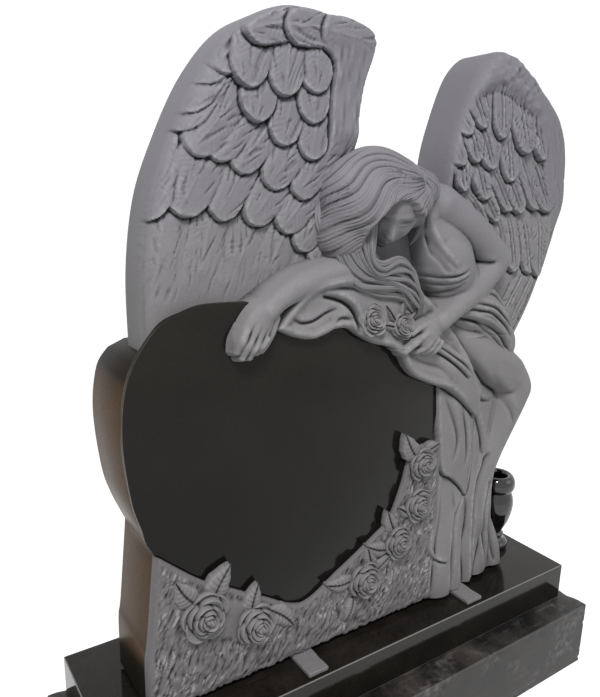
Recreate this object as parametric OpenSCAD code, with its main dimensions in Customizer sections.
// Granite headstone: an angel leaning over a heart-shaped tablet, carved from one stone.
// It stands on two packing strips on a stepped base, with a turned flower vase beside it.
// X runs to the right, Y to the back and Z up. The origin is the centre of the underside.

/* [Carved stone] */
// Overall width of the carved stone, heart to wing
stone_w = 1406; // [1100:10:1700]
// Overall height of the carved stone
stone_h = 1571; // [1250:10:1900]
// Thickness of the block behind the heart and the skirt
block_t = 195; // [140:5:280]
// Thickness of the wings
wing_t = 115; // [70:5:160]
// How far the heart tablet stands in front of the block
tablet_step = 15; // [5:1:30]
// How far the rose border stands in front of the heart tablet
border_step = 15; // [5:1:30]
// How far the figure leans out, as a share of its carved depth
figure_depth = 1; // [0.8:0.05:1.2]

/* [Wings] */
// Lift of one row of feathers over the next
feather_lift = 5; // [3:0.5:8]
// Width of the smooth raised rim along the top of the wings
rim_w = 62; // [40:2:90]
// How far that rim stands in front of the feathers
rim_lift = 16; // [8:1:24]

/* [Roses] */
// Radius of the largest rose in the border
rose_r = 60; // [45:1:75]
// Radius of the roses in the hand
hand_rose_r = 38; // [28:1:50]

/* [Upper base] */
// Height of the upper base
upper_h = 120; // [80:5:180]
// Upper base showing to the left of the stone
upper_left = 79; // [60:1:200]
// Upper base showing to the right of the stone
upper_right = 35; // [30:1:200]
// Upper base showing in front of the block
upper_front = 115; // [100:5:250]
// Upper base showing behind the block
upper_back = 110; // [40:5:250]

/* [Lower base] */
// Height of the lower base
lower_h = 216; // [120:2:300]
// Step at each side of the lower base
step_side = 43; // [20:1:120]
// Step at the front of the lower base
step_front = 78; // [30:1:160]
// Step at the back of the lower base
step_back = 28; // [15:1:120]

/* [Packing strips] */
// Width of each strip under the stone
strip_w = 60; // [40:1:90]
// Thickness of each strip
strip_t = 12; // [6:1:20]
// How far each strip sticks out in front of the block
strip_reach = 103; // [20:1:110]

/* [Flower vase] */
// Height of the vase
vase_h = 270; // [200:5:340]
// Outer radius of the vase's rolled lip
vase_r = 64; // [50:1:80]
// Radius of the hole for the flowers
vase_bore_r = 33; // [25:1:40]
// Depth of that hole below the lip's rounding
vase_bore_l = 155; // [100:5:190]
// Gap between the vase and the hem of the skirt
vase_gap = 12; // [5:1:40]
// Distance from the vase's axis to the back of the upper base
vase_back = 200; // [110:5:240]

/* [Hidden] */

// The carving below is drawn at this size and scaled to the sizes above
drawn_left = -681;
drawn_right = 725;
drawn_h = 1571;
scale_x = stone_w / (drawn_right - drawn_left);
scale_z = stone_h / drawn_h;

// The two base blocks, from the stone outwards
upper_w = upper_left + stone_w + upper_right;
upper_d = upper_front + block_t + upper_back;
lower_w = upper_w + 2 * step_side;
lower_d = upper_d + step_front + step_back;
upper_y = (step_front - step_back) / 2;
upper_top = lower_h + upper_h;

// Where the stone stands
stone_x = -upper_w / 2 + upper_left - drawn_left * scale_x;
block_y = upper_y - upper_d / 2 + upper_front;
back_y = block_y + block_t;
tablet_y = block_y - tablet_step;
border_y = tablet_y - border_step;
wing_back_y = block_y + 135;
wing_y = wing_back_y - wing_t;
stone_z = upper_top + strip_t;

// Where the strips lie, and where the skirt's hem ends
strip_left_x = stone_x - 228 * scale_x;
strip_right_x = stone_x + 348 * scale_x;
strip_l = strip_reach + block_t;
hem_right = 580;
vase_x = stone_x + hem_right * scale_x + vase_gap + vase_r;
vase_y = upper_y + upper_d / 2 - vase_back;

// ---- Curves ----

// One point of a Catmull-Rom curve between p[i] and p[i + 1]
function curve_at(p, i, t) =
    let (a = p[max(i - 1, 0)], b = p[i], c = p[i + 1], d = p[min(i + 2, len(p) - 1)])
    0.5 * (2 * b + (c - a) * t + (2 * a - 5 * b + 4 * c - d) * t * t
           + (3 * b - a - 3 * c + d) * t * t * t);

// A smooth open curve through the points p, with n steps to each span
function curve(p, n = 3) =
    [for (i = [0 : len(p) - 2], k = [0 : n - 1]) curve_at(p, i, k / n), p[len(p) - 1]];

function mix(a, b, t) = a + (b - a) * t;

// ---- Outlines, X against height above the stone's underside ----

pedestal_left = curve([[-645, 0], [-645, 128], [-637, 190], [-617, 398]]);
lobe_left = curve([[-617, 398], [-650, 478], [-669, 553], [-681, 690], [-668, 790], [-640, 833]]);
skirt_right = curve([[538, 735], [609, 655], [628, 610], [609, 565], [512, 404], [480, 320],
                     [498, 218], [556, 81], [hem_right, 0]]);
block_outline = concat(pedestal_left, lobe_left, [[-600, 850], [400, 850]], skirt_right);

heart_left = curve([[-231, 143], [-343, 195], [-470, 262], [-617, 398], [-650, 478], [-669, 553],
                    [-681, 690], [-662, 815], [-600, 909], [-540, 938], [-487, 950], [-391, 949]]);
heart_right = curve([[-391, 949], [-250, 905], [-100, 930], [80, 900], [190, 780], [219, 615],
                     [180, 440], [60, 290], [-119, 184], [-231, 143]]);
heart_outline = concat(heart_left, heart_right);

border_top = curve([[-617, 398], [-520, 313], [-440, 262], [-343, 203], [-231, 146], [-119, 200],
                    [0, 268], [55, 310], [95, 400], [118, 480], [160, 505], [235, 500]]);
border_outline = concat(pedestal_left, border_top, [[260, 300], [260, 0]]);

left_wing_outer = curve([[-611, 845], [-609, 1009], [-587, 1162], [-542, 1282], [-475, 1408],
                         [-387, 1507], [-290, 1558], [-205, 1571], [-66, 1558], [-42, 1530]]);
left_wing_inner = curve([[-42, 1530], [-47, 1499], [-72, 1429], [-84, 1340], [-84, 1240]]);
left_wing_outline = concat(left_wing_outer, left_wing_inner, [[-84, 845]]);

right_wing_inner = curve([[226, 1180], [226, 1263], [243, 1345], [292, 1471], [338, 1526],
                          [385, 1551], [440, 1541]]);
right_wing_outer = curve([[440, 1541], [503, 1510], [634, 1429], [685, 1377], [714, 1325],
                          [725, 1242], [714, 1110], [622, 882], [538, 735]]);
right_wing_outline = concat(right_wing_inner, right_wing_outer, [[226, 735]]);

spine_outline = concat([[-110, 845]],
    curve([[-110, 1150], [-80, 1235], [0, 1262], [90, 1235], [180, 1190], [330, 1070], [430, 1000],
           [470, 845]]));

cloth_edge = curve([[-331, 880], [-275, 855], [-201, 855], [-140, 868], [-67, 831], [44, 785],
                    [81, 729], [142, 692], [229, 667], [300, 622], [352, 560]]);
cloth_outline = concat(cloth_edge, curve([[352, 560], [372, 660], [350, 740], [270, 850],
                       [60, 960], [-120, 1000], [-260, 965], [-331, 880]]));
underskirt_outline = concat(curve([[222, 680], [225, 560], [205, 470], [248, 405], [340, 318]]),
                            curve([[340, 318], [372, 430], [385, 560], [400, 700]]));

// ---- Building blocks ----

// A flat slab cut to an outline, from y_front back to y_back
module slab(outline, y_front, y_back) {
    translate([0, y_back, 0])
        rotate([90, 0, 0])
            linear_extrude(y_back - y_front)
                polygon(outline);
}

// A rounded limb through the points [x, y, z, radius]
module limb(p, fn = 12) {
    for (i = [0 : len(p) - 2])
        hull() {
            translate([p[i][0], p[i][1], p[i][2]]) sphere(p[i][3], $fn = fn);
            translate([p[i + 1][0], p[i + 1][1], p[i + 1][2]]) sphere(p[i + 1][3], $fn = fn);
        }
}

// One feather with a round tip; angle is the way the tip points, from +X
module feather(tip, angle, length, width, y) {
    translate([tip[0], y + 30, tip[1]])
        rotate([90, 0, 0])
            rotate(angle)
                linear_extrude(30)
                    union() {
                        translate([-width / 2, 0]) circle(width / 2, $fn = 8);
                        translate([-length, -width / 2]) square([length - width / 2, width]);
                    }
}

// A row of n feathers from tip_a to tip_b, turning and changing size on the way
module feather_row(n, tip_a, tip_b, angle_a, angle_b, length, width, y) {
    for (i = [0 : n - 1])
        let (t = n > 1 ? i / (n - 1) : 0)
            feather(mix(tip_a, tip_b, t), mix(angle_a, angle_b, t), length, width,
                    y + 0.6 * (i % 2));
}

// A raised rim that follows a curve on the plane y and stands out by lift
module rim(path, width, lift, y) {
    for (i = [0 : 2 : len(path) - 3])
        hull()
            for (p = [path[i], path[i + 2]])
                translate([p[0], y, p[1]])
                    scale([1, 2 * lift / width, 1]) sphere(width / 2, $fn = 8);
}

// A rose seen from the front: a bud inside three open cups, with a wavy outer edge
rose_profile = [[0, 0.62], [0.13, 0.58], [0.19, 0.42], [0.32, 0.56], [0.4, 0.36], [0.58, 0.46],
                [0.68, 0.22], [0.98, 0.27], [0.92, -0.3], [0, -0.3]];

module rose(x, z, r, y, turn) {
    translate([x, y, z])
        rotate([90, turn, 0])
            rotate_extrude($fn = 11)
                polygon(rose_profile * r);
}

// A pointed leaf with its tip at angle from +X
module leaf(x, z, length, width, angle, y) {
    translate([x, y + 30, z])
        rotate([90, 0, 0])
            rotate(angle)
                linear_extrude(30)
                    polygon([for (i = [0 : 9])
                        let (t = i <= 5 ? i / 5 : (10 - i) / 5, side = i <= 5 ? 1 : -1)
                            [length * t, side * width / 2 * sin(180 * pow(t, 0.8))]]);
}

// ---- Parts of the carving ----

// Keeps the feathers of a wing inside its outline
module trim_to(outline) {
    intersection() {
        children();
        slab(outline, wing_y - 80, wing_y + 40);
    }
}

module left_wing() {
    y = wing_y - feather_lift;
    slab(left_wing_outline, wing_y, wing_back_y);
    trim_to(left_wing_outline) {
        feather_row(5, [-590, 1118], [-285, 1100], 258, 225, 190, 74, y - feather_lift);
        feather_row(2, [-243, 1056], [-208, 1035], 235, 240, 110, 66, y - feather_lift);
        feather_row(4, [-505, 1262], [-245, 1180], 232, 222, 190, 72, y - 2 * feather_lift);
        feather_row(3, [-440, 1310], [-208, 1258], 230, 240, 130, 72, y - 3 * feather_lift);
        feather_row(4, [-520, 1345], [-220, 1336], 240, 262, 120, 78, y - 3.6 * feather_lift);
        feather_row(4, [-460, 1410], [-205, 1398], 250, 272, 110, 80, y - 4.2 * feather_lift);
        rim(curve([[-400, 1485], [-290, 1535], [-205, 1542], [-75, 1528]]),
            rim_w, rim_lift + 5 * feather_lift, wing_y);
        // The inner border is one long smooth quill
        slab([[-155, 1500], [-148, 1360], [-150, 1200], [-60, 1200], [-40, 1500]],
             y - rim_lift - feather_lift, wing_y + 10);
    }
}

module right_wing() {
    y = wing_y - feather_lift;
    slab(right_wing_outline, wing_y, wing_back_y);
    trim_to(right_wing_outline) {
        feather_row(3, [630, 870], [510, 830], 240, 240, 220, 56, y - 0.5 * feather_lift);
        feather_row(4, [492, 976], [655, 950], 282, 285, 200, 66, y - feather_lift);
        feather_row(5, [440, 1118], [690, 1143], 300, 290, 200, 66, y - 2 * feather_lift);
        feather_row(5, [305, 1198], [600, 1180], 300, 300, 140, 64, y - 2.8 * feather_lift);
        feather_row(4, [350, 1278], [600, 1270], 300, 295, 130, 62, y - 3.6 * feather_lift);
        feather_row(4, [350, 1358], [590, 1330], 295, 290, 120, 66, y - 4.4 * feather_lift);
        rim(curve([[255, 1235], [272, 1345], [318, 1455], [390, 1515], [500, 1476], [640, 1385],
                   [690, 1290]]), rim_w, rim_lift + 5 * feather_lift, wing_y);
    }
}

// The roses and leaves of the border, under and beside the heart
module border() {
    slab(border_outline, border_y, back_y);
    leaf(-500, 235, 110, 70, 62, border_y - 12);
    leaf(-520, 250, 90, 60, 120, border_y - 8);
    leaf(-400, 170, 90, 62, 80, border_y - 12);
    leaf(-350, 150, 100, 60, 20, border_y - 10);
    leaf(-60, 165, 95, 60, 150, border_y - 10);
    leaf(40, 255, 85, 54, 120, border_y - 10);
    leaf(120, 480, 95, 56, 112, border_y - 12);
    rose(-516, 215, rose_r, border_y - 6, 20);
    rose(-380, 145, rose_r, border_y - 6, 50);
    rose(-40, 155, rose_r, border_y - 6, 10);
    rose(73, 235, rose_r * 0.85, border_y - 6, 35);
    rose(142, 335, rose_r * 0.88, border_y - 6, 60);
    rose(155, 450, rose_r * 0.86, border_y - 6, 80);
}

// Head bowed over the heart, with long waved hair
module head() {
    // Face, brow and nose
    limb([[15, -4, 1150, 90], [44, -24, 1112, 76]], 12);
    limb([[40, -92, 1150, 13], [58, -104, 1112, 12]], 6);
    // Crown of the hair, and its fall behind the neck
    limb([[-10, 0, 1185, 100], [-78, 4, 1150, 98]], 12);
    limb([[90, 5, 1225, 34], [128, 0, 1180, 30], [118, -10, 1060, 24]], 6);
    // Locks that fall in a wave towards the roses
    for (i = [0 : 2])
        let (s = 22 * i)
            limb([[-128 + s, -8 - s / 2, 1120, 46 - s / 2], [-112 + s, -14 - s / 2, 1030 + s / 2, 32],
                  [-40 + s, -40 - s / 3, 985 + s, 26], [82 + s / 3, -54, 925 + s, 20]], 6);
    // Neck
    limb([[70, 0, 1080, 44], [130, 10, 1120, 52]], 8);
}

module torso_and_arms() {
    limb([[160, 10, 1110, 66], [230, 0, 1010, 92], [330, 5, 880, 90], [380, 15, 800, 105]], 12);
    // Her left arm, bent at the elbow to hold the roses
    limb([[190, -8, 1165, 54], [412, -18, 1015, 44], [200, -70, 882, 31], [100, -64, 818, 22]], 10);
    // Her right arm, laid along the top of the heart
    limb([[-90, 0, 1020, 48], [-200, -14, 990, 44], [-320, -30, 930, 31], [-375, -38, 895, 28]], 10);
    for (i = [0 : 3])
        limb([[-378 + 12 * i, -42, 892 - 4 * i, 13], [-414 + 16 * i, -40, 838 - 3 * i, 10]], 6);
}

// The thigh, knee and shin under the dress, with rolled folds at the hip
module legs() {
    limb([[380, 15, 800, 105], [545, 10, 640, 66], [460, 50, 380, 64], [430, 62, 240, 60]], 12);
    for (i = [0 : 3])
        limb([[270 + 20 * i, -58 + 6 * i, 850 + 22 * i, 13], [390, -84 + 8 * i, 872 + 18 * i, 14],
              [500 - 15 * i, -40 + 8 * i, 790 + 38 * i, 13]], 6);
}

// Cloth laid over the heart and hanging at its right, and the pleats of the skirt
module drapery() {
    slab(cloth_outline, tablet_y - 20, tablet_y + 60);
    slab(underskirt_outline, tablet_y - 14, tablet_y + 60);
    slab(concat([[232, 700], [232, 0]], [for (i = [len(skirt_right) - 1 : -1 : 8]) skirt_right[i]],
                [[538, 700]]), tablet_y - 8, block_y + 20);
    pleats = 7;
    for (i = [0 : pleats - 1])
        let (t = i / (pleats - 1))
            hull() {
                translate([mix(262, 462, t), tablet_y - 2, 440 - 110 * t]) sphere(16, $fn = 8);
                translate([mix(262, 548, t), tablet_y + 8 + 40 * t * t, 0])
                    cylinder(h = 20, r = 24, $fn = 8);
            }
    for (i = [0 : 2])
        limb([[-280 + 70 * i, tablet_y - 18, 880 + 14 * i, 11],
              [-180 + 80 * i, tablet_y - 20, 900 + 8 * i, 12],
              [-90 + 80 * i, tablet_y - 18, 870 - 18 * i, 11]], 8);
}

module figure() {
    // Limbs are drawn about the wings' front plane
    translate([0, wing_y - 30, 0])
        scale([1, figure_depth, 1]) {
            head();
            torso_and_arms();
            legs();
        }
    drapery();
    rose(-72, 892, hand_rose_r, tablet_y - 26, 25);
    rose(42, 868, hand_rose_r, tablet_y - 26, 70);
    limb([[120, tablet_y - 30, 800, 9], [220, tablet_y - 28, 745, 8], [300, tablet_y - 24, 670, 8]],
         8);
}

// ---- The pieces ----

module angel_stone() {
    color([0.42, 0.42, 0.44])
        translate([stone_x, 0, stone_z])
            scale([scale_x, 1, scale_z])
                difference() {
                    union() {
                        slab(block_outline, block_y, back_y);
                        slab(heart_outline, tablet_y, block_y + 60);
                        slab(spine_outline, wing_y, wing_back_y);
                        border();
                        left_wing();
                        right_wing();
                        figure();
                    }
                    // Sawn flat underneath
                    translate([-1500, -500, -300]) cube([3000, 1000, 300]);
                }
}

module upper_base() {
    color([0.08, 0.08, 0.08])
        translate([-upper_w / 2, upper_y - upper_d / 2, lower_h])
            cube([upper_w, upper_d, upper_h]);
}

module lower_base() {
    color([0.13, 0.13, 0.13])
        translate([-lower_w / 2, -lower_d / 2, 0])
            cube([lower_w, lower_d, lower_h]);
}

module packing_strip(x) {
    color([0.6, 0.6, 0.58])
        translate([x - strip_w / 2, block_y - strip_reach, upper_top])
            cube([strip_w, strip_l, strip_t]);
}

module packing_strip_left() { packing_strip(strip_left_x); }

module packing_strip_right() { packing_strip(strip_right_x); }

// Turned vase: a ringed foot, a waist, a full body and a rolled lip round a straight hole
module flower_vase() {
    lip_a = (vase_r - vase_bore_r) / 2;
    lip_h = 28;
    lip_z = vase_h - lip_h;
    bore_top = lip_z;
    foot_r = vase_r - 8;
    waist_r = vase_r - 29;
    waist_z = vase_h * 0.22;
    foot = [for (a = [-90 : 22.5 : 90]) [foot_r - 12 + 12 * cos(a), 13 + 13 * sin(a)]];
    ring = [for (a = [-90 : 30 : 90]) [waist_r + 6 * cos(a), waist_z - 11 + 5 * sin(a)]];
    body = curve([[waist_r, waist_z], [waist_r + 12, waist_z + 32], [vase_r - 3, waist_z + 78],
                  [vase_r - 1, waist_z + 105], [vase_r - 10, lip_z - lip_h]], 5);
    lip = [for (a = [-60 : 15 : 180])
        [vase_bore_r + lip_a + lip_a * cos(a), lip_z + lip_h * sin(a)]];
    color([0.07, 0.07, 0.07])
        translate([vase_x, vase_y, upper_top])
            rotate_extrude($fn = 96)
                polygon(concat([[0, 0]], foot, [[waist_r + 4, 30]], ring, body, lip,
                               [[vase_bore_r, bore_top - vase_bore_l],
                                [0, bore_top - vase_bore_l]]));
}

angel_stone();
upper_base();
lower_base();
flower_vase();
packing_strip_left();
packing_strip_right();
